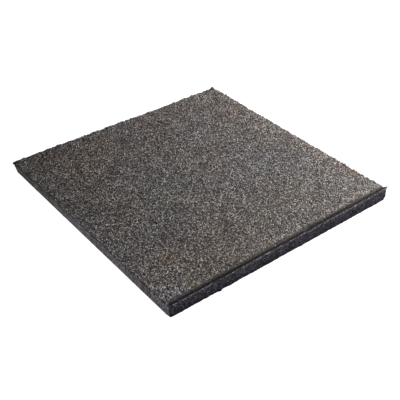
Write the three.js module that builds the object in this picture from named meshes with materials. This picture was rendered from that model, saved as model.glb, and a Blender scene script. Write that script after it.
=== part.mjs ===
// Rubber floor tile: one slab of bonded crumb rubber, cut from a moulded strip.
// Millimetres, +Z up. The origin is the middle of the tile's outline, on the underside.
// The -Y side is the strip's moulded edge: a low lip, a groove behind it, and a shoulder that
// rolls up to the flat walking surface. The other three sides are cut, and the cut at -X leans.
import * as THREE from 'three';

// Driving dimensions
const lengthX = 500;
const widthY = 500;
const thickness = 25;

const lipWidth = 1.6; // crest of the lip, on the moulded edge
const lipBelowTop = 1; // how far the crest stays under the walking surface
const grooveWidth = 4; // floor of the groove behind the lip
const grooveDepth = 2.2; // under the walking surface
const shoulderWidth = 8.4; // from the groove to the flat surface
const shoulderSteps = 6; // straight pieces in the shoulder's arc

const footSetback = 4.5; // the -X cut's foot stands back from its upper edge by this much

// Section of the strip, anticlockwise: its horizontal axis is the tile's Y, its upright one Z.
function stripSection() {
  const front = -widthY / 2;
  const back = widthY / 2;
  const lipInside = front + lipWidth;
  const flatStart = lipInside + grooveWidth + shoulderWidth;
  const grooveFloor = thickness - grooveDepth;
  const crest = thickness - lipBelowTop;

  const section = new THREE.Shape();
  section.moveTo(front, 0);
  section.lineTo(back, 0);
  section.lineTo(back, thickness);
  section.lineTo(flatStart, thickness);
  // The shoulder is a quarter of an ellipse, level at the top and upright at the groove.
  section.absellipse(flatStart, grooveFloor, shoulderWidth, grooveDepth, Math.PI / 2, Math.PI);
  section.lineTo(lipInside, grooveFloor);
  section.lineTo(lipInside, crest);
  section.lineTo(front, crest);
  return section;
}

// The section drawn out along X, with its two ends at -lengthX / 2 and lengthX / 2.
function strip() {
  const geometry = new THREE.ExtrudeGeometry(stripSection(), {
    depth: lengthX,
    bevelEnabled: false,
    curveSegments: shoulderSteps,
  });
  const alongX = new THREE.Matrix4().makeBasis(
    new THREE.Vector3(0, 1, 0),
    new THREE.Vector3(0, 0, 1),
    new THREE.Vector3(1, 0, 0),
  );
  geometry.applyMatrix4(alongX);
  geometry.translate(-lengthX / 2, 0, 0);
  return geometry;
}

// Leans the end at -X: each of its points moves in by its share of the way down to the foot.
function leanCutEnd(geometry) {
  const points = geometry.getAttribute('position');
  for (let i = 0; i < points.count; i += 1) {
    if (points.getX(i) < 0) {
      const shareDown = 1 - points.getZ(i) / thickness;
      points.setX(i, -lengthX / 2 + footSetback * shareDown);
    }
  }
  geometry.computeVertexNormals();
  return geometry;
}

const crumbRubber = new THREE.MeshStandardMaterial({
  color: 0x5a5653,
  roughness: 0.92,
  metalness: 0,
});

const slab = new THREE.Mesh(leanCutEnd(strip()), crumbRubber);
slab.name = 'rubber_tile';

const tile = new THREE.Group();
tile.add(slab);

export default tile;
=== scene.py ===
# %% [markdown]
# # A rubber floor tile
#
# The object is one slab of crumb rubber: tyre granules of 1 to 3 mm, wetted with a binder and
# pressed in a hot mould. What the eye reads as "rubber tile" is in two places: the open grain
# of the surface, and the edges, of which the mould shaped one and a blade cut the other three.
# This lesson makes both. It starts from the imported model, the plain slab at its real size, with
# the moulded side at -Y. The blade leant a little in the cut at -X.

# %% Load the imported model
import math

import bpy
import numpy as np
from mathutils import Matrix, Vector, noise


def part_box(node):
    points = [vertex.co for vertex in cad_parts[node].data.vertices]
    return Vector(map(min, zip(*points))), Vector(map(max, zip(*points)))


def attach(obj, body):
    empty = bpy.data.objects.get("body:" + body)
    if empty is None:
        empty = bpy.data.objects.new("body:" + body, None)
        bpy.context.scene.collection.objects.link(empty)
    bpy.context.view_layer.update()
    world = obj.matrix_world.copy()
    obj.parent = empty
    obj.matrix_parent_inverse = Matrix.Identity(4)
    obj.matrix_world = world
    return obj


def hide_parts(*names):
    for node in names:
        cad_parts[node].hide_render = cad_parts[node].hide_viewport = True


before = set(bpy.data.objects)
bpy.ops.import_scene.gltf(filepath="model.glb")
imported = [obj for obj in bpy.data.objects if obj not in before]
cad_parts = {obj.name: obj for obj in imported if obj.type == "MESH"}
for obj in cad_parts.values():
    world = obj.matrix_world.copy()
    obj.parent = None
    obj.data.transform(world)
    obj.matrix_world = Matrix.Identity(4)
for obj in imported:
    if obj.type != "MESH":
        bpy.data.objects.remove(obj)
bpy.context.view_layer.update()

MM = 0.001
low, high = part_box("rubber_tile")
half_x = (high.x - low.x) / 2
half_y = (high.y - low.y) / 2
thickness = high.z - low.z
print(f"slab {2 * half_x / MM:.0f} x {2 * half_y / MM:.0f} x {thickness / MM:.0f} mm")


# %% [markdown]
# ## The camera
#
# The photograph looks down on one corner. Its camera was worked out from the four corners and
# the edge lines of the tile, which is square, so the eye's place is known from the nearest
# corner. Blender's camera looks along its own -Z with +Y up, so its matrix is built from those
# axes. An empty with a Track To constraint would do as well, but the matrix keeps the photo's
# slight roll.

# %% Camera
LENS = 66.9  # mm
SENSOR_WIDTH = 36  # mm
HEADING = math.radians(39.145)  # from +Y towards +X
LOOK_DOWN = math.radians(36.234)
ROLL = math.radians(0.751)
EYE_FROM_CORNER = Vector((-0.4746, -0.6546, 0.7921))  # metres

nearest_corner = Vector((low.x, low.y, high.z))
forward = Vector((
    math.sin(HEADING) * math.cos(LOOK_DOWN),
    math.cos(HEADING) * math.cos(LOOK_DOWN),
    -math.sin(LOOK_DOWN),
))
level_right = Vector((math.cos(HEADING), -math.sin(HEADING), 0))
level_up = level_right.cross(forward)
right = level_right * math.cos(ROLL) + level_up * math.sin(ROLL)
up = level_up * math.cos(ROLL) - level_right * math.sin(ROLL)

camera = bpy.data.objects.new("camera", bpy.data.cameras.new("camera"))
camera.data.lens = LENS
camera.data.sensor_width = SENSOR_WIDTH
camera.data.clip_start = 0.01
camera.matrix_world = Matrix.Translation(nearest_corner + EYE_FROM_CORNER) @ Matrix(
    (right, up, -forward)
).transposed().to_4x4()
bpy.context.collection.objects.link(camera)
bpy.context.scene.camera = camera
print("eye at", [round(n, 3) for n in camera.matrix_world.translation])


# %% [markdown]
# ## Floor and light
#
# A catalogue photographer lays such a tile on a sheet of opal acrylic that is lit from below,
# so that the sheet stays white and no shadow shows beside the black rubber. Here the sheet is
# a plane with an emission of its own.
#
# One warm soft box stands low at the right. It rakes the grain, pales the right half of the top
# and leaves the side that faces the eye on the right in the shade. A weak light behind and a
# weak cool one at the front left open the shadows. The surroundings are dim, because light from
# all round would fill the gaps between the crumbs, but the camera sees them white, so that a low
# view has no dark horizon. The Standard view keeps these levels as they are.

# %% Floor and light
FLOOR_SIZE = 20.0  # metres
FLOOR_GAP = 0.05 * MM  # keeps the sheet from flickering through the underside
FLOOR_GLOW = 1.0
SURROUNDINGS_COLOUR = (0.94, 0.96, 1.0, 1)
SURROUNDINGS_STRENGTH = 0.075


def floor_sheet():
    mesh = bpy.data.meshes.new("floor")
    half = FLOOR_SIZE / 2
    corners = [(-half, -half), (half, -half), (half, half), (-half, half)]
    mesh.from_pydata([(x, y, low.z - FLOOR_GAP) for x, y in corners], [], [(0, 1, 2, 3)])
    opal = bpy.data.materials.new("opal_sheet")
    opal.use_nodes = True
    shader = opal.node_tree.nodes["Principled BSDF"]
    shader.inputs["Base Color"].default_value = (0.15, 0.15, 0.15, 1)
    shader.inputs["Roughness"].default_value = 0.9
    shader.inputs["Specular IOR Level"].default_value = 0.0
    shader.inputs["Emission Color"].default_value = (1, 1, 1, 1)
    shader.inputs["Emission Strength"].default_value = FLOOR_GLOW
    mesh.materials.append(opal)
    floor = bpy.data.objects.new("floor", mesh)
    bpy.context.collection.objects.link(floor)


def soft_box(name, place, aim, size, watts, colour=(1, 1, 1)):
    light = bpy.data.lights.new(name, "AREA")
    light.shape = "DISK"
    light.size = size
    light.energy = watts
    light.color = colour
    lamp = bpy.data.objects.new(name, light)
    lamp.location = place
    lamp.rotation_mode = "QUATERNION"
    lamp.rotation_quaternion = (Vector(aim) - Vector(place)).to_track_quat("-Z", "Y")
    bpy.context.collection.objects.link(lamp)


def studio_world():
    world = bpy.data.worlds.new("studio")
    world.use_nodes = True
    nodes, links = world.node_tree.nodes, world.node_tree.links
    surroundings = nodes["Background"]
    surroundings.inputs["Color"].default_value = SURROUNDINGS_COLOUR
    surroundings.inputs["Strength"].default_value = SURROUNDINGS_STRENGTH
    backdrop = nodes.new("ShaderNodeBackground")
    backdrop.inputs["Color"].default_value = (1, 1, 1, 1)
    choice = nodes.new("ShaderNodeMixShader")
    links.new(nodes.new("ShaderNodeLightPath").outputs["Is Camera Ray"], choice.inputs["Fac"])
    links.new(surroundings.outputs["Background"], choice.inputs[1])
    links.new(backdrop.outputs["Background"], choice.inputs[2])
    links.new(choice.outputs["Shader"], nodes["World Output"].inputs["Surface"])
    bpy.context.scene.world = world


floor_sheet()
soft_box(
    "key", place=(1.25, -0.35, 0.50), aim=(0, 0, 0), size=0.7, watts=91, colour=(1, 0.97, 0.945)
)
soft_box("behind", place=(1.00, 1.20, 0.40), aim=(0, 0, 0), size=0.7, watts=6)
soft_box(
    "fill", place=(-0.75, -0.70, 0.60), aim=(0, 0, 0), size=0.9, watts=4.5, colour=(0.80, 0.90, 1)
)
studio_world()
bpy.context.scene.view_settings.view_transform = "Standard"


# %% [markdown]
# ## Shader building blocks
#
# Materials are node trees. One small helper adds a node, sets its options and either links or
# fills its inputs, and another opens a node group with named sockets. The groups that follow
# put out masks and colours that change over the surface; the shader stays in each material.

# %% Node helpers
def connect(tree, node, inputs):
    """inputs maps an input's name or number to a value or to a socket."""
    for key, value in inputs.items():
        if isinstance(value, bpy.types.NodeSocket):
            tree.links.new(value, node.inputs[key])
        else:
            node.inputs[key].default_value = value
    return node


def add(tree, kind, inputs=None, **settings):
    node = tree.nodes.new(kind)
    for name, value in settings.items():
        setattr(node, name, value)
    return connect(tree, node, inputs or {})


def math_node(tree, operation, *values):
    inputs = dict(enumerate(values))
    return add(tree, "ShaderNodeMath", inputs, operation=operation).outputs[0]


def vector_math(tree, operation, first, second):
    inputs = {0: first, ("Scale" if operation == "SCALE" else 1): second}
    return add(tree, "ShaderNodeVectorMath", inputs, operation=operation).outputs[0]


def remap(tree, value, from_low, from_high, to_low=0.0, to_high=1.0):
    """A soft step from to_low to to_high."""
    inputs = {
        "Value": value,
        "From Min": from_low,
        "From Max": from_high,
        "To Min": to_low,
        "To Max": to_high,
    }
    kind = "ShaderNodeMapRange"
    return add(tree, kind, inputs, interpolation_type="SMOOTHSTEP").outputs["Result"]


def mix_colour(tree, share, first, second):
    node = tree.nodes.new("ShaderNodeMix")
    node.data_type = "RGBA"
    number = {s.name: n for n, s in enumerate(node.inputs) if s.enabled}
    connect(tree, node, {number["Factor"]: share, number["A"]: first, number["B"]: second})
    return next(s for s in node.outputs if s.enabled)


def open_group(name, inputs, outputs):
    """A new shader group. inputs and outputs are (name, socket type, default or None)."""
    group = bpy.data.node_groups.new(name, "ShaderNodeTree")
    for direction, sockets in (("INPUT", inputs), ("OUTPUT", outputs)):
        for label, kind, default in sockets:
            socket = group.interface.new_socket(label, in_out=direction, socket_type=kind)
            if default is not None:
                socket.default_value = default
    return group, group.nodes.new("NodeGroupInput"), group.nodes.new("NodeGroupOutput")


def close_group(group, outlet, results):
    connect(group, outlet, results)
    print(f"group {group.name}: {len(group.nodes)} nodes")


def use_group(tree, group, inputs):
    return add(tree, "ShaderNodeGroup", inputs, node_tree=group).outputs


# %% [markdown]
# ## The crumb
#
# On the real tile each granule is a torn scrap of tyre with its own grey, a facet that leans
# its own way, and a dark gap round it. Cell noise, called Voronoi, gives all of that from one
# pattern: random numbers for each cell, which set its grey and tilt its top, and the distance
# to the cell's border. The borders come out as straight as honeycomb, so a little noise first
# bends the coordinates. The other way is to scatter real lumps over the slab, but the open face
# shows some eighty thousand of them.

# %% Group: crumb grain
FLOAT, VECTOR, COLOUR = "NodeSocketFloat", "NodeSocketVector", "NodeSocketColor"


def build_crumb_grain():
    group, given, outlet = open_group(
        "Crumb grain",
        [
            ("Place", VECTOR, None),
            ("Crumb Size", FLOAT, 0.0026),
            ("Gap", FLOAT, 0.2),
            ("Raggedness", FLOAT, 0.5),
            ("Tilt", FLOAT, 2.0),
        ],
        [
            ("Shade", FLOAT, None),
            ("Kind", FLOAT, None),
            ("Crumb", FLOAT, None),
            ("Height", FLOAT, None),
        ],
    )
    per_metre = math_node(group, "DIVIDE", 1.0, given.outputs["Crumb Size"])
    place = vector_math(group, "SCALE", given.outputs["Place"], per_metre)
    wobble = add(
        group,
        "ShaderNodeTexNoise",
        {"Vector": place, "Scale": 1.3, "Detail": 2.0, "Roughness": 0.6},
    ).outputs["Color"]
    centred = vector_math(group, "SUBTRACT", wobble, (0.5, 0.5, 0.5))
    bend = vector_math(group, "SCALE", centred, given.outputs["Raggedness"])
    torn = vector_math(group, "ADD", place, bend)
    cells = add(group, "ShaderNodeTexVoronoi", {"Vector": torn, "Scale": 1.0}, feature="F1")
    border = add(
        group,
        "ShaderNodeTexVoronoi",
        {"Vector": torn, "Scale": 1.0},
        feature="DISTANCE_TO_EDGE",
    ).outputs["Distance"]
    draws = add(group, "ShaderNodeSeparateColor", {"Color": cells.outputs["Color"]}).outputs
    crumb = remap(group, border, 0.0, given.outputs["Gap"])
    proud = math_node(group, "MULTIPLY_ADD", draws["Blue"], 0.7, 0.3)
    from_middle = vector_math(group, "SUBTRACT", torn, cells.outputs["Position"])
    facing = vector_math(group, "SUBTRACT", cells.outputs["Color"], (0.5, 0.5, 0.5))
    lean = add(
        group, "ShaderNodeVectorMath", {0: from_middle, 1: facing}, operation="DOT_PRODUCT"
    ).outputs["Value"]
    top = math_node(group, "MULTIPLY_ADD", lean, given.outputs["Tilt"], proud)
    height = math_node(group, "MULTIPLY", crumb, top)
    close_group(
        group,
        outlet,
        {"Shade": draws["Red"], "Kind": draws["Green"], "Crumb": crumb, "Height": height},
    )
    return group


crumb_grain = build_crumb_grain()


# %% [markdown]
# ## Patches
#
# Seen from a step back the tile isn't one grey. Binder and dust lie unevenly, in light and dark
# clouds a few centimetres wide. The tyres in the mix were not all one black either, so the grey
# leans to brown here and to violet or green there, over a hand's width. Two slow noises make
# this: one for light and dark, and a much slower one for the tint. Both are weak on purpose.

# %% Group: patches
def build_patches():
    group, given, outlet = open_group(
        "Patches",
        [("Place", VECTOR, None), ("Patch Size", FLOAT, 0.03), ("Colourfulness", FLOAT, 0.2)],
        [("Level", FLOAT, None), ("Tint", COLOUR, None)],
    )
    per_metre = math_node(group, "DIVIDE", 1.0, given.outputs["Patch Size"])
    place = vector_math(group, "SCALE", given.outputs["Place"], per_metre)
    cloud = {"Vector": place, "Scale": 1.0, "Detail": 3.0, "Roughness": 0.6}
    level = add(group, "ShaderNodeTexNoise", cloud).outputs["Fac"]
    elsewhere = vector_math(group, "ADD", place, (31.0, 17.0, 5.0))
    slower = {**cloud, "Vector": elsewhere, "Scale": 0.3, "Detail": 1.0}
    hue = add(group, "ShaderNodeTexNoise", slower).outputs["Color"]
    centred = vector_math(group, "SUBTRACT", hue, (0.5, 0.5, 0.5))
    leaning = vector_math(group, "SCALE", centred, given.outputs["Colourfulness"])
    draws = add(group, "ShaderNodeSeparateXYZ", {"Vector": leaning}).outputs
    warm, green = draws["X"], draws["Y"]
    tint = add(
        group,
        "ShaderNodeCombineColor",
        {
            "Red": math_node(group, "ADD", 1.0, warm),
            "Green": math_node(group, "MULTIPLY_ADD", green, 0.55, 1.0),
            "Blue": math_node(group, "SUBTRACT", 1.0, warm),
        },
    ).outputs["Color"]
    close_group(group, outlet, {"Level": level, "Tint": tint})
    return group


patches = build_patches()


# %% [markdown]
# ## One rubber, three skins
#
# The open face, the moulded edge and the cut side are the same rubber with different skins. On
# the open face the crumbs stand apart, light and dust catch their tops, some have fallen out,
# and a few are pale or brown. Against the mould's wall they were squeezed flat and sealed with
# binder, which leaves a blacker skin, and this side's colour is also painted darker and bluer as
# the shade that falls on it. The blade sliced through the crumbs of the left side and left them
# level and greyer.
#
# One function builds all three from the two groups. It also reads three values that the mesh
# carries for each of its points: how much painted shade lies there, in a pit or the groove, at
# the foot of the moulded wall or towards the rear on the left; how far it is painted paler,
# mostly as painted light and highlight; and how far it leans to brown. The paling has a tint of
# its own on each skin, so it is a colour, not a number.

# %% Material function
OCHRE = (0.16, 0.0, -0.30)  # change of red, green and blue where a stain is full
FINE_GRAIN = 0.42  # size of the second grain, as a share of the crumb
PATCH_SIZE = 35 * MM


def crumb_grey(tree, coarse, fine, painted_shade, skin):
    """From 0 in a gap, a fallen crumb's pit or the mesh's painted shade, all painted dark as
    shade, to 1 on the palest crumb.
    """
    grey = math_node(tree, "MULTIPLY", coarse["Shade"], 1 - skin["fine"])
    grey = math_node(tree, "MULTIPLY_ADD", fine["Shade"], skin["fine"], grey)
    grey = math_node(tree, "POWER", grey, skin["contrast"])
    grey = math_node(tree, "MULTIPLY", grey, coarse["Crumb"])
    # Crumbs that look fallen out are painted dark, as the shade in their holes.
    stands = math_node(tree, "GREATER_THAN", coarse["Kind"], skin["pits"])
    grey = math_node(tree, "MULTIPLY", grey, stands)
    # The mesh's painted shade darkens the grey.
    return math_node(tree, "MULTIPLY", grey, remap(tree, painted_shade, 0.1, 0.75, 1.0, 0.0))


def shifted(tree, colour, change, amount):
    """The colour times 1 + change * amount, each of its parts by itself."""
    factor = vector_math(tree, "ADD", vector_math(tree, "SCALE", change, amount), (1, 1, 1))
    return vector_math(tree, "MULTIPLY", colour, factor)


def with_odd_crumbs(tree, colour, coarse, odd_crumbs):
    """odd_crumbs lists (from, to, colour) for the cell's random number."""
    for kind_low, kind_high, odd_colour in odd_crumbs:
        above = math_node(tree, "GREATER_THAN", coarse["Kind"], kind_low)
        below = math_node(tree, "LESS_THAN", coarse["Kind"], kind_high)
        chosen = math_node(tree, "MULTIPLY", above, below)
        chosen = math_node(tree, "MULTIPLY", chosen, coarse["Crumb"])
        colour = mix_colour(tree, chosen, colour, (*odd_colour, 1))
    return colour


def crumb_rubber(name, dark, light, skin):
    """dark and light are the rubber's greys in a gap and on a crumb; skin holds the rest."""
    material = bpy.data.materials.new(name)
    material.use_nodes = True
    tree = material.node_tree
    shader = tree.nodes["Principled BSDF"]
    shader.inputs["Specular IOR Level"].default_value = skin["gloss"]
    place = add(tree, "ShaderNodeTexCoord").outputs["Object"]
    # The mesh carries painted shade, painted light and paleness, and brown stains.
    painted_shade, painted_light_and_paleness, ochre = [
        add(tree, "ShaderNodeAttribute", attribute_name=label).outputs["Fac"]
        for label in ("painted_shade", "painted_light_and_paleness", "ochre")
    ]

    coarse = use_group(
        tree,
        crumb_grain,
        {"Place": place, "Crumb Size": skin["crumb"], "Gap": skin["gap"], "Raggedness": 0.9},
    )
    fine_size = skin["crumb"] * FINE_GRAIN
    fine = use_group(
        tree,
        crumb_grain,
        {"Place": place, "Crumb Size": fine_size, "Gap": 0.3, "Raggedness": 0.6},
    )
    patch = use_group(
        tree,
        patches,
        {"Place": place, "Patch Size": PATCH_SIZE, "Colourfulness": skin["colourfulness"]},
    )

    grey = crumb_grey(tree, coarse, fine, painted_shade, skin)
    colour = mix_colour(tree, grey, (*dark, 1), (*light, 1))
    colour = vector_math(tree, "MULTIPLY", colour, patch["Tint"])
    colour = shifted(tree, colour, OCHRE, ochre)
    cloudy = remap(tree, patch["Level"], 0.3, 0.7, 1 - skin["clouding"], 1 + skin["clouding"])
    colour = vector_math(tree, "SCALE", colour, cloudy)
    # Paling that is mostly painted light and highlight, with each skin's own tint.
    colour = shifted(tree, colour, skin["painted_light_and_paleness_tint"], painted_light_and_paleness)
    colour = with_odd_crumbs(tree, colour, coarse, skin["odd_crumbs"])
    tree.links.new(colour, shader.inputs["Base Color"])

    rough = math_node(tree, "MULTIPLY_ADD", fine["Shade"], skin["rough_spread"], skin["rough"])
    tree.links.new(rough, shader.inputs["Roughness"])

    relief = math_node(tree, "MULTIPLY_ADD", fine["Height"], 0.4, coarse["Height"])
    bump = add(
        tree,
        "ShaderNodeBump",
        {"Height": relief, "Distance": skin["relief"], "Strength": 1.0},
    )
    tree.links.new(bump.outputs["Normal"], shader.inputs["Normal"])
    print(f"material {name}: {len(tree.nodes)} nodes")
    return material


# %% [markdown]
# ## The open face
#
# `crumb` is the granules' size and `relief` the depth of the shaded relief, both in metres.
# `gap` is how wide the dark border of a crumb is, as a share of its size; that border is painted
# dark, as the shade between the crumbs. `fine` is how much of the grey comes from the second,
# finer grain, and `pits` the share of crumbs that look fallen out, painted dark as the shade in
# their holes. `contrast` is a power: the higher it is, the fewer crumbs catch the light. The
# tint of paling is the change of red, green and blue where the painted light and paleness is
# full. An odd crumb is a range of the cell's random number and a colour: one crumb in 1000 is
# nearly white, and 25 are paler greys.

# %% Open face
open_face = crumb_rubber(
    "crumb_rubber_open",
    dark=(0.014, 0.0095, 0.0075),
    light=(0.69, 0.647, 0.629),
    skin={
        "crumb": 0.0018,
        "gap": 0.3,
        "fine": 0.1,
        "contrast": 2.3,
        "pits": 0.22,
        "colourfulness": 0.33,
        "clouding": 0.15,
        "painted_light_and_paleness_tint": (0.38, 0.40, 0.41),
        "odd_crumbs": [
            (0.9990, 1.0, (0.85, 0.82, 0.80)),
            (0.985, 0.9990, (0.42, 0.40, 0.385)),
            (0.975, 0.985, (0.17, 0.152, 0.14)),
        ],
        "gloss": 0.15,
        "rough": 0.5,
        "rough_spread": 0.4,
        "relief": 0.0009,
    },
)


# %% [markdown]
# ## The moulded edge and the cut side
#
# Both have bigger crumbs with narrow gaps, since here they are seen pressed or sliced. The
# moulded skin is the darkest and least glossy; its dark, blue colour is partly the binder and
# partly painted shade. Its tint of paling is strong and warm: on the lip it is a painted
# highlight. The cut side is nearly flat, so its relief is faint.

# %% Moulded edge and cut side
# Its darker, bluer greys are partly painted shade.
moulded_edge = crumb_rubber(
    "crumb_rubber_moulded",
    dark=(0.005, 0.0045, 0.006),
    light=(0.095, 0.086, 0.122),
    skin={
        "crumb": 0.0027,
        "gap": 0.16,
        "fine": 0.15,
        "contrast": 1.8,
        "pits": 0.15,
        "colourfulness": 0.15,
        "clouding": 0.15,
        "painted_light_and_paleness_tint": (1.75, 1.7, 1.1),
        "odd_crumbs": [(0.99, 1.0, (0.11, 0.11, 0.115))],
        "gloss": 0.04,
        "rough": 0.55,
        "rough_spread": 0.3,
        "relief": 0.0005,
    },
)
cut_side = crumb_rubber(
    "crumb_rubber_cut",
    dark=(0.014, 0.013, 0.014),
    light=(0.235, 0.208, 0.234),
    skin={
        "crumb": 0.0030,
        "gap": 0.08,
        "fine": 0.15,
        "contrast": 1.7,
        "pits": 0.12,
        "colourfulness": 0.2,
        "clouding": 0.2,
        "painted_light_and_paleness_tint": (0.4, 0.4, 0.4),
        "odd_crumbs": [(0.985, 1.0, (0.13, 0.12, 0.11))],
        "gloss": 0.15,
        "rough": 0.6,
        "rough_spread": 0.2,
        "relief": 0.0002,
    },
)


# %% [markdown]
# ## The edges of the tile
#
# The tile was cut from a moulded strip. Three of its sides are cuts, flat top right up to the
# edge. The fourth, the one that faces the eye on the right, is the strip's moulded edge. From
# the side inwards it has a low lip, where the mould closed, then the floor of a groove, and a
# shoulder that rolls up to the flat top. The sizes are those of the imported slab, and the shape
# is a table of (distance in from the moulded side, height).

# %% Edge profile
LIP_WIDTH = 1.6 * MM
LIP_BELOW_TOP = 1.0 * MM
GROOVE_WIDTH = 4.0 * MM
GROOVE_DEPTH = 2.2 * MM
SHOULDER_WIDTH = 8.4 * MM
SHOULDER_ROWS = 6

crest = thickness - LIP_BELOW_TOP
groove_floor = thickness - GROOVE_DEPTH
shoulder_foot = LIP_WIDTH + GROOVE_WIDTH
flat_inset = shoulder_foot + SHOULDER_WIDTH


def edge_profile():
    points = [
        (0.0, crest),
        (0.85 * LIP_WIDTH, crest),  # the lip's inner side leans a little
        (1.15 * LIP_WIDTH, groove_floor),
        (LIP_WIDTH + 0.4 * GROOVE_WIDTH, groove_floor),
        (LIP_WIDTH + 0.75 * GROOVE_WIDTH, groove_floor),
    ]
    for step in range(SHOULDER_ROWS + 1):
        angle = math.pi / 2 * step / SHOULDER_ROWS
        inset = shoulder_foot + SHOULDER_WIDTH * (1 - math.cos(angle))
        points.append((inset, groove_floor + GROOVE_DEPTH * math.sin(angle)))
    return np.array(points)


profile = edge_profile()
print(f"profile: {len(profile)} points over {flat_inset / MM:.1f} mm")


# %% [markdown]
# ## The top as a grid
#
# The top is a grid of small quads, because the relief that comes later needs points to move.
# Its lines lie close together where the profile bends and evenly elsewhere, and each point gets
# its height from the profile. A bevelled and subdivided cube gives the same slab, but no
# control over the groove and the lip.

# %% Top grid
GRID_PITCH = 1.7 * MM


def evenly(start, end):
    return np.linspace(start, end, round((end - start) / GRID_PITCH) + 1)


line_x = evenly(-half_x, half_x)
line_y = np.concatenate([profile[:-1, 0] - half_y, evenly(flat_inset - half_y, half_y)])
x, y = (grid.ravel() for grid in np.meshgrid(line_x, line_y))
inset = y + half_y
top_points = np.stack([x, y, np.interp(inset, profile[:, 0], profile[:, 1])], axis=1)
print(f"top grid: {len(line_x)} x {len(line_y)} points")


# %% [markdown]
# ## Walls and underside
#
# The walls hang from the grid's rim like a skirt: one ring of points under another. The blade
# leant and twisted a little at the left, so the foot of that side stands 2 mm back at the front
# and 5 mm at the rear, and the rings move in with it. The last ring is a little smaller, which
# blunts the bottom edge, and one large face closes the underside.

# %% Walls and underside
FOOT_SETBACK_FRONT = 2.2 * MM
FOOT_SETBACK_REAR = 5.4 * MM
FOOT_RADIUS = 0.4 * MM
WALL_ROWS = 8

across, along = len(line_x), len(line_y)
number = np.arange(across * along).reshape(along, across)
rim = np.concatenate([number[0, :-1], number[:-1, -1], number[-1, :0:-1], number[:0:-1, 0]])


def ring_below(share_down, pulled_in=0.0):
    """The rim's points at a share of the way to the foot."""
    points = top_points[rim].copy()
    points[:, 2] *= 1 - share_down
    leaning = np.interp(points[:, 1], [-half_y, half_y], [FOOT_SETBACK_FRONT, FOOT_SETBACK_REAR])
    points[:, 0] += leaning * share_down * (half_x - points[:, 0]) / (2 * half_x)
    points[:, :2] *= 1 - pulled_in / half_x
    return points


last_wall_row = 1 - FOOT_RADIUS / thickness
rings = [ring_below(last_wall_row * step / WALL_ROWS) for step in range(1, WALL_ROWS + 1)]
rings.append(ring_below(1.0, pulled_in=FOOT_RADIUS))
smooth_form = np.concatenate([top_points, *rings])

count = len(rim)
ring_numbers = [rim] + [len(top_points) + count * n + np.arange(count) for n in range(len(rings))]
quads = [
    np.stack(
        [number[:-1, :-1], number[:-1, 1:], number[1:, 1:], number[1:, :-1]], axis=-1
    ).reshape(-1, 4)
]
for above, below in zip(ring_numbers, ring_numbers[1:]):
    quads.append(np.stack([above, below, np.roll(below, -1), np.roll(above, -1)], axis=-1))
quads = np.concatenate(quads)
underside = ring_numbers[-1][::-1]
print(f"skin: {len(smooth_form)} points, {len(quads)} quads, {2 * len(quads) + count} triangles")


# %% [markdown]
# ## A mesh to measure
#
# The mesh is made now, while it is still smooth, because its normals say which way the crumbs
# stand out from each point.

# %% Mesh of the smooth form
tile_mesh = bpy.data.meshes.new("rubber_tile_skin")
tile_mesh.from_pydata(smooth_form.tolist(), [], quads.tolist() + [underside.tolist()])
tile_mesh.polygons.foreach_set("use_smooth", np.append(np.ones(len(quads), bool), False))
tile_mesh.update()

normals = np.empty(len(smooth_form) * 3, np.float32)
tile_mesh.vertex_normals.foreach_get("vector", normals)
normals = normals.reshape(-1, 3)
print("normal at the middle of the top:", normals[number[along // 2, across // 2]])


# %% [markdown]
# ## Which skin goes where
#
# Each point knows what it belongs to: open face, groove, lip or one of the walls, and each face
# takes its material from that. The moulded skin, whose darker, bluer colour is partly painted
# shade, ends on the shoulder. Towards the right it reaches a little further in, and so does the
# painted shade beside the groove.

# %% Regions and materials
MOULDED_SKIN_END = 7 * MM  # in from the moulded side
WIDENING = 1.8 * MM  # how much further in the skin and its shelter reach at the right

top_count = len(top_points)
is_top = np.arange(len(smooth_form)) < top_count
point_inset = smooth_form[:, 1] + half_y
from_left = smooth_form[:, 0] + half_x
from_right = half_x - smooth_form[:, 0]
below_top = thickness - smooth_form[:, 2]
rightward = np.clip(smooth_form[:, 0] / half_x, 0, 1)
widening = WIDENING * rightward

is_lip = is_top & (point_inset < LIP_WIDTH)
in_groove = is_top & ~is_lip & (point_inset < shoulder_foot)
is_rim = np.zeros(len(smooth_form), bool)
is_rim[rim] = True

MOULDED_SIDE, RIGHT_SIDE, REAR_SIDE, LEFT_SIDE = sides = range(4)
side_of_rim = np.repeat(sides, [across - 1, along - 1, across - 1, along - 1])
point_side = np.concatenate([np.full(top_count, -1), np.tile(side_of_rim, len(rings))])
on_moulded_wall = point_side == MOULDED_SIDE
on_left_wall = point_side == LEFT_SIDE

OPEN, MOULDED, CUT = range(3)
face_side = point_side[quads[:, 1]]  # a wall quad's second point lies under the rim
face_slot = np.where(face_side < 0, OPEN, CUT)
face_slot[face_side == MOULDED_SIDE] = MOULDED
beyond_skin = (point_inset - widening)[quads].mean(axis=1) - MOULDED_SKIN_END
face_slot[(face_side < 0) & (beyond_skin < 0)] = MOULDED
for material in (open_face, moulded_edge, cut_side):
    tile_mesh.materials.append(material)
tile_mesh.polygons.foreach_set("material_index", np.append(face_slot, MOULDED))
print("faces by skin:", np.bincount(face_slot))


# %% [markdown]
# ## Painted light and paleness
#
# Most of this paling is painted light. The lip is palest, as a painted highlight on its crest,
# and more so towards the right corner. Then come the right edge, as a painted highlight that is
# weaker near that corner, a pale band just inside the shoulder, and the upper part of the two
# walls that face the eye, painted lighter towards the top. The front corner is painted a little
# paler than the rest of the top and the left rear darker, as light and shade. A second band
# behind the first is darker.
#
# On the top, each of these is a bell curve of the distance from an edge or a corner, and a row
# in a list. Painted weights could do the same by hand, but the list follows the tile's sizes.

# %% Painted light and paleness
RUBBED_BAND = 18 * MM  # in from the moulded side, where feet rub most
DARK_BAND = 30 * MM  # and the darker one behind it, which fades out towards the left
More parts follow.
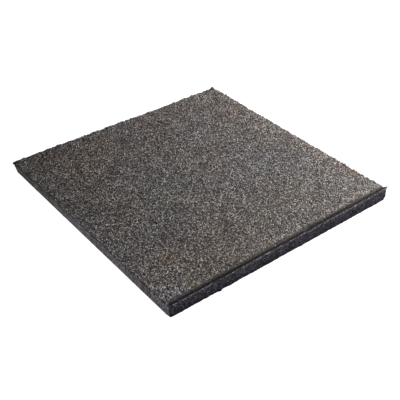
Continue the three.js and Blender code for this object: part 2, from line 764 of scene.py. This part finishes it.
# Round the right corner the right edge's painted highlight is weaker.
DIMMER_HIGHLIGHT_WIDTH = 70 * MM  # round the right corner, where the right edge is worn less
DIMMER_HIGHLIGHT_SHARE = 0.5
# The lip's painted highlight grows from here towards the right corner.
LIP_HIGHLIGHT_START = 0.6  # share of the way from the middle to the right corner
LIP_HIGHLIGHT_EXTRA = 0.7  # what the corner's dust adds to a fully worn lip
PAINTED_LIGHT_DOWN_TO = {MOULDED_SIDE: 6 * MM, LEFT_SIDE: 14 * MM}  # below the top


def bell(distance, width):
    return np.exp(-((distance / width) ** 2))


from_front_corner = np.hypot(from_left, point_inset)
from_right_corner = np.hypot(from_right, point_inset)
from_rear = half_y - smooth_form[:, 1]
leftward = np.clip(0.5 - smooth_form[:, 0] / half_x, 0, 1)

right_edge_highlight = 1 - DIMMER_HIGHLIGHT_SHARE * bell(from_right_corner, DIMMER_HIGHLIGHT_WIDTH)
# Rows for a pale band, a darker band, the right edge's painted highlight, the front corner's
# painted light and the left rear's painted shade.
painted_light_and_paleness_places = [  # amount, distance, width, and the share of it that each point gets
    (0.5, point_inset - RUBBED_BAND, 5 * MM, 1),
    (-0.3, point_inset - DARK_BAND, 14 * MM, rightward),
    (0.75, from_right, 11 * MM, right_edge_highlight),
    (0.7, from_front_corner, 90 * MM, 1),
    (-0.45, from_rear, 150 * MM, leftward),
]
painted_light_and_paleness = np.zeros(len(smooth_form))
for amount, distance, width, share in painted_light_and_paleness_places:
    painted_light_and_paleness += amount * bell(distance, width) * share
painted_light_and_paleness[in_groove | ~is_top] = 0
# The lip is painted pale, as a highlight on its crest.
lip_highlight_ramp = (smooth_form[:, 0] / half_x - LIP_HIGHLIGHT_START) / (1 - LIP_HIGHLIGHT_START)
painted_light_and_paleness[is_lip] = 1 + LIP_HIGHLIGHT_EXTRA * np.clip(lip_highlight_ramp[is_lip], 0, 1)
# The walls that face the eye are painted lighter towards the top.
for side, depth in PAINTED_LIGHT_DOWN_TO.items():
    on_wall = point_side == side
    painted_light_and_paleness[on_wall] = np.clip(1 - below_top[on_wall] / depth, 0, 1)
print(f"worn: {painted_light_and_paleness[is_top].mean():.2f} on the top, {painted_light_and_paleness[is_lip].mean():.2f} on the lip")


# %% [markdown]
# ## Relief
#
# Crumbs of 2 mm and more are big enough to be shape and not just shading, above all where the
# edge stands against the white. Each point of the grid asks the same kind of cell noise how
# high its crumb stands and how near the gap is. Here and there a crumb fell out and left a
# pit. A Displace modifier with a Voronoi texture could do this too, but reading the noise in
# a loop lets the groove and the walls be flatter than the top. The blade went cleanly through
# the front of the left wall and tore its rear, so the relief grows that way.

# %% Crumb relief
CRUMB_PITCH = 2.5 * MM
CRUMB_STEP = 0.25 * MM
GAP_DEPTH = 0.35 * MM
GAP_SLOPE = 0.3  # how far the gap's side reaches into the crumb, as a share of the pitch
PIT_DEPTH = 1.0 * MM
PIT_SHARE = 0.15
SWELL = 0.12 * MM
SWELL_LENGTH = 25 * MM
JITTER = 0.4 * MM  # keeps the grid's straight lines from showing

PRESSED = 0.4  # share of the relief that the mould left on the lip and in the groove
MOULDED_WALL = 0.5  # and on its wall
CLEAN_CUT, TORN_CUT = 0.25, 0.75  # the same on the left wall, front and rear
TEAR_START = -50 * MM  # in Y
TEAR_END = 200 * MM


def crumb_relief(place):
    """How far a point of the surface stands out or in, in metres."""
    distances, cells = noise.voronoi(place / CRUMB_PITCH)
    level = noise.cell(cells[0] + Vector((0.5, 0.5, 0.5)))
    second_draw = noise.cell(cells[0] + Vector((40.5, 7.5, 19.5)))
    fallen = abs(second_draw) < PIT_SHARE
    on_crumb = min(distances[1] - distances[0], GAP_SLOPE) / GAP_SLOPE
    swell = noise.noise(place / SWELL_LENGTH)
    height = CRUMB_STEP * level - GAP_DEPTH * (1 - on_crumb) + SWELL * swell
    return height - PIT_DEPTH * on_crumb if fallen else height


full_relief = np.array([crumb_relief(Vector(p)) for p in smooth_form.tolist()])
strength = np.ones(len(smooth_form))
strength[is_lip | in_groove] = PRESSED
strength[on_moulded_wall] = MOULDED_WALL
rearward = np.clip((smooth_form[:, 1] - TEAR_START) / (TEAR_END - TEAR_START), 0, 1)
strength[on_left_wall] = (CLEAN_CUT + (TORN_CUT - CLEAN_CUT) * rearward)[on_left_wall]
strength[ring_numbers[-1]] = 0
relief = full_relief * strength

jitter_draws = np.random.default_rng(7)
jitter = jitter_draws.uniform(-1, 1, (len(smooth_form), 2)) * JITTER
jitter[~is_top | is_rim | (point_inset < flat_inset)] = 0

skin = smooth_form + normals * relief[:, None]
skin[:, :2] += jitter
print(f"relief from {relief.min() / MM:.2f} to {relief.max() / MM:.2f} mm")


# %% [markdown]
# ## Painted shade
#
# Pits are painted dark as shade, so the painted shade starts from the relief. Beside the groove
# the crumbs lie in the shoulder's shade, which is painted in and lifts gradually, between 5 and
# 15 mm in. The foot of the moulded wall gets painted shade as well. The left wall is painted
# darker towards the rear, unevenly, and the top's edge above it the same. At the right tip the
# painted shade is taken off and the groove is painted pale.

# %% Painted shade points
SHELTER_START = 5.0 * MM  # in from the moulded side: fully dark up to here
SHELTER_END = 15.0 * MM  # and open from here on
DARK_PIT = 1.1 * MM  # how deep a pit is that gets no light
WALL_PIT = 0.5  # how dark such a pit is on a wall
DARK_FOOT = 12 * MM  # below the top, where the moulded wall starts to darken
FOOT_DARKNESS = 0.5  # at its foot
LEFT_EDGE_WIDTH = 7 * MM
LEFT_EDGE_DARKNESS = 0.3  # at the rear end
LEFT_WALL_DARKNESS = 0.5  # at the rear end, on the average
MOTTLE = 0.7  # how strongly the mottling changes that
MOTTLE_SIZE = 5 * MM
RIGHT_TIP_WIDTH = 4 * MM
RIGHT_TIP_PALENESS = 0.8

# Painted shade in the pits, beside the groove and at the foot of the moulded wall.
pit = np.clip(-full_relief / DARK_PIT, 0, 1)
painted_shade = np.where(is_top, pit, WALL_PIT * pit)
shelter = (SHELTER_END + widening - point_inset) / (SHELTER_END - SHELTER_START)
painted_shade[is_top] = np.maximum(painted_shade, np.clip(shelter, 0, 1))[is_top]
painted_shade[is_lip] = 0
low_down = np.clip((below_top - DARK_FOOT) / (thickness - DARK_FOOT), 0, 1)
painted_shade[on_moulded_wall] += FOOT_DARKNESS * low_down[on_moulded_wall]

# The left wall and the top's edge above it get painted shade towards the rear.
near_left = np.where(is_top, np.clip(1 - from_left / LEFT_EDGE_WIDTH, 0, 1), 0)
painted_shade = painted_shade * (1 - near_left * (1 - rearward)) + LEFT_EDGE_DARKNESS * rearward * near_left
left_places = smooth_form[on_left_wall].tolist()
mottle = np.array([noise.noise(Vector(place) / MOTTLE_SIZE) for place in left_places])
mottled = LEFT_WALL_DARKNESS + WALL_PIT * pit[on_left_wall] + MOTTLE * mottle
painted_shade[on_left_wall] = rearward[on_left_wall] * mottled

# The right tip loses its painted shade, and its groove is painted pale.
right_tip = bell(from_right_corner, RIGHT_TIP_WIDTH)
painted_shade[is_top] *= 1 - right_tip[is_top]
painted_light_and_paleness[in_groove] = RIGHT_TIP_PALENESS * right_tip[in_groove]
print(f"sunk: {painted_shade[is_top].mean():.2f} on the top, {painted_shade[on_left_wall].mean():.2f} at the left")


# %% [markdown]
# ## Stains
#
# Something brown was trodden into this tile: a few ochre blots of 1 to 2 cm, and a tinge on the
# rear of the left wall. Each blot is a bell curve round a place in a short list. Along the front
# part of the left edge the rubber is bluer than elsewhere, which is the same value below zero.
# With that the three values are complete, and they are stored on the mesh, where the materials
# find them.

# %% Stains
STAINS = [  # x, y and width in millimetres
    (-64, -154, 10),
    (-26, -231, 12),
    (-186, -154, 18),
    (-221, -163, 9),
    (-190, -228, 16),
    (198, -226, 16),
    (165, -231, 10),
    (101, -95, 9),
    (150, -128, 10),
    (126, -129, 9),
    (240, -179, 12),
    (238, -59, 10),
    (229, 143, 10),
    (28, 220, 10),
]
LEFT_WALL_TINGE = 0.5  # at the rear end
BLUENESS = 0.35
BLUE_WIDTH = 60 * MM  # in from the left edge
BLUE_START = -120 * MM  # in Y: fully blue in front of this
BLUE_END = 80 * MM  # and not at all behind this

ochre = np.zeros(len(smooth_form))
for centre_x, centre_y, width in STAINS:
    offset = smooth_form[:, :2] - np.array([centre_x, centre_y]) * MM
    ochre += bell(np.hypot(*offset.T), width * MM / 2)
forward_share = np.clip((BLUE_END - smooth_form[:, 1]) / (BLUE_END - BLUE_START), 0, 1)
bluer = BLUENESS * bell(from_left, BLUE_WIDTH) * forward_share
ochre = np.where(is_top, np.clip(ochre, 0, 1) - bluer, 0)
ochre[on_left_wall] = LEFT_WALL_TINGE * rearward[on_left_wall]

for label, values in (("painted_shade", painted_shade), ("painted_light_and_paleness", painted_light_and_paleness), ("ochre", ochre)):
    layer = tile_mesh.attributes.new(label, "FLOAT", "POINT")
    layer.data.foreach_set("value", values.astype(np.float32))
    print(f"{label}: {values.min():.2f} to {values.max():.2f}")


# %% [markdown]
# ## Ragged edges
#
# Nobody trims the lip, so its crest wanders, and at the right corner it rises into a torn end.
# Along the two rear edges the cut pushed out a ragged burr and left shreds standing. The burr
# goes outwards more than up: the light comes in so low that a steep burr would turn a black
# inner face to the eye. A small table gives its share along each side, and noise makes it
# uneven. Then comes a list of shreds, each with its side, its place along that side, its height
# and its width in millimetres.

# %% Lip and shreds
SHREDS = [
    ("rear", -82, 1.5, 2.4),
    ("rear", -7, 1.5, 2.0),
    ("rear", 24, 1.7, 2.2),
    ("rear", 137, 2.0, 2.6),
    ("rear", 162, 1.0, 3.0),
    ("rear", 188, 1.1, 3.0),
    ("rear", 207, 1.0, 2.4),
    ("rear", 222, 2.0, 3.0),
    ("rear", 246, 2.6, 9.0),
    ("right", 208, 1.1, 2.2),
    ("right", 147, 1.6, 2.6),
    ("right", 86, 1.2, 2.6),
    ("right", -54, 0.9, 3.0),
    ("right", -135, 2.0, 2.6),
    ("right", -148, 1.5, 2.4),
    ("right", -156, 2.4, 2.6),
    ("right", -233, 2.1, 2.2),
    ("right", -248, 2.8, 4.0),
]
BURR_RISE = 0.8 * MM  # how far the torn edges stand up on the average
BURR_OUT = 1.6 * MM  # and outwards
BURR_ALONG = {  # places along a side in millimetres, and the burr's share there
    "rear": (
        [-250, -100, 0, 50, 100, 150, 200, 250],
        [1.0, 1.0, 0.8, 0.3, 0.3, 0.7, 1.3, 1.0],
    ),
    "right": (
        [-250, -200, -150, 150, 200, 250],
        [1.2, 1.1, 1.0, 0.9, 1.3, 0.6],
    ),
}
BURR_UNEVENNESS = 0.8  # how much of both comes and goes with the noise
SHRED_LEAN = 0.5  # how far outwards, for each millimetre of height
LIP_WANDER = 0.35 * MM
LIP_RISE = 2.6 * MM  # at the right corner, where the lip runs out into the longest shred
LIP_RISE_START = 205 * MM  # in X


def wander(place, wavelength, seed):
    return noise.noise(Vector((place[0], place[1], 0)) / wavelength + Vector((0, 0, seed)))


ragged = is_lip | (is_rim & is_top)
places = smooth_form[ragged, :2]
uneven = np.array([
    wander(place, 9 * MM, 3.3) + wander(place, 2.5 * MM, 7.7) for place in places
])
lift = LIP_WANDER * uneven
near_corner = np.clip((places[:, 0] - LIP_RISE_START) / (half_x - LIP_RISE_START), 0, 1)
lift += np.where(places[:, 1] < LIP_WIDTH - half_y, LIP_RISE * near_corner**1.3, 0)
for side, axis, half in (("rear", 1, half_y), ("right", 0, half_x)):
    along_side = places[:, 1 - axis] / MM
    on_side = half - places[:, axis] < 1 * MM
    burr = on_side * (1 + BURR_UNEVENNESS * uneven)
    burr = burr * np.interp(along_side, *BURR_ALONG[side])
    shred = np.zeros(len(places))
    for _, centre, rise, width in [entry for entry in SHREDS if entry[0] == side]:
        shred += rise * MM * bell(along_side - centre, width / 2)
    lift += BURR_RISE * burr + shred * on_side
    skin[ragged, axis] += BURR_OUT * burr + SHRED_LEAN * shred * on_side
skin[ragged, 2] += lift
print(f"ragged edge from {lift.min() / MM:.2f} to {lift.max() / MM:.2f} mm off its line")


# %% [markdown]
# ## Foot and corners
#
# A little rubber was squeezed out where the mould closed on the strip, and it stands along the
# foot of the moulded side as a thin, uneven flash with a few lumps. The corners differ too. The
# right one was torn off rather than sliced and flares outwards, the left rear one droops, and
# the front one has had its foot knocked blunt. Each is a bell curve or a short table that fades
# within a centimetre, so the points only slide and no face turns over.

# %% Foot and corners
FLASH = 0.6 * MM  # how far the foot of the moulded side stands out on the average
FLASH_UNEVENNESS = 1.1
LUMPS = [  # place along the moulded side, size and width in millimetres
    (-148, 1.8, 6),
    (-128, 0.8, 5),
    (-77, 0.8, 5),
    (33, 0.8, 8),
    (229, 1.0, 6),
]
FLARE_DEPTHS = [0, 0.2, 0.5, 0.75, 0.9, 1]  # shares of the way down
FLARE = [3.0, 4.3, 4.2, 4.4, 1.5, 0.5]  # mm, outwards at the right corner
FLARE_REACH = 8 * MM
DROOP = 3.0 * MM  # down at the left rear corner
DROOP_OUT = 1.6 * MM
DROOP_REACH = 5 * MM
BLUNT_X, BLUNT_Y = 1.0 * MM, 1.6 * MM  # how much of the front corner's foot is missing
BLUNT_REACH = 7 * MM

share_down = np.clip(below_top / thickness, 0, 1)
foot = np.where(on_moulded_wall, share_down**4, 0)
uneven = np.array([
    wander(place, 11 * MM, 5.1) + wander(place, 4 * MM, 9.2) for place in smooth_form[:, :2]
])
flash = FLASH * (1 + FLASH_UNEVENNESS * uneven)
for centre, size, width in LUMPS:
    flash += size * MM * bell(smooth_form[:, 0] - centre * MM, width * MM / 2)
skin[:, 1] -= foot * flash

flare = bell(point_inset, FLARE_REACH) * np.clip(1 - from_right / FLARE_REACH, 0, 1)
skin[:, 0] += MM * np.interp(share_down, FLARE_DEPTHS, FLARE) * flare

droop = np.where(is_top, bell(np.hypot(from_left, from_rear), DROOP_REACH), 0)
skin[:, 2] -= DROOP * droop
skin[:, 0] -= DROOP_OUT * droop

blunt = np.where(is_top, 0, bell(from_front_corner, BLUNT_REACH) * share_down**2)
skin[:, 0] += BLUNT_X * blunt
skin[:, 1] += BLUNT_Y * blunt
print(f"foot stands out by up to {(foot * flash).max() / MM:.2f} mm")


# %% [markdown]
# ## The finished tile
#
# The moved points go back into the mesh. The object hangs from the empty of the root body and
# replaces the plain slab, which is hidden.

# %% Put the tile in place
tile_mesh.vertices.foreach_set("co", skin.astype(np.float32).ravel())
tile_mesh.update()
tile_mesh.validate()
tile = bpy.data.objects.new("rubber_tile_skin", tile_mesh)
bpy.context.collection.objects.link(tile)
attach(tile, "root")
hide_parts("rubber_tile")
print("the tile has", len(tile_mesh.vertices), "points and", len(tile_mesh.polygons), "faces")
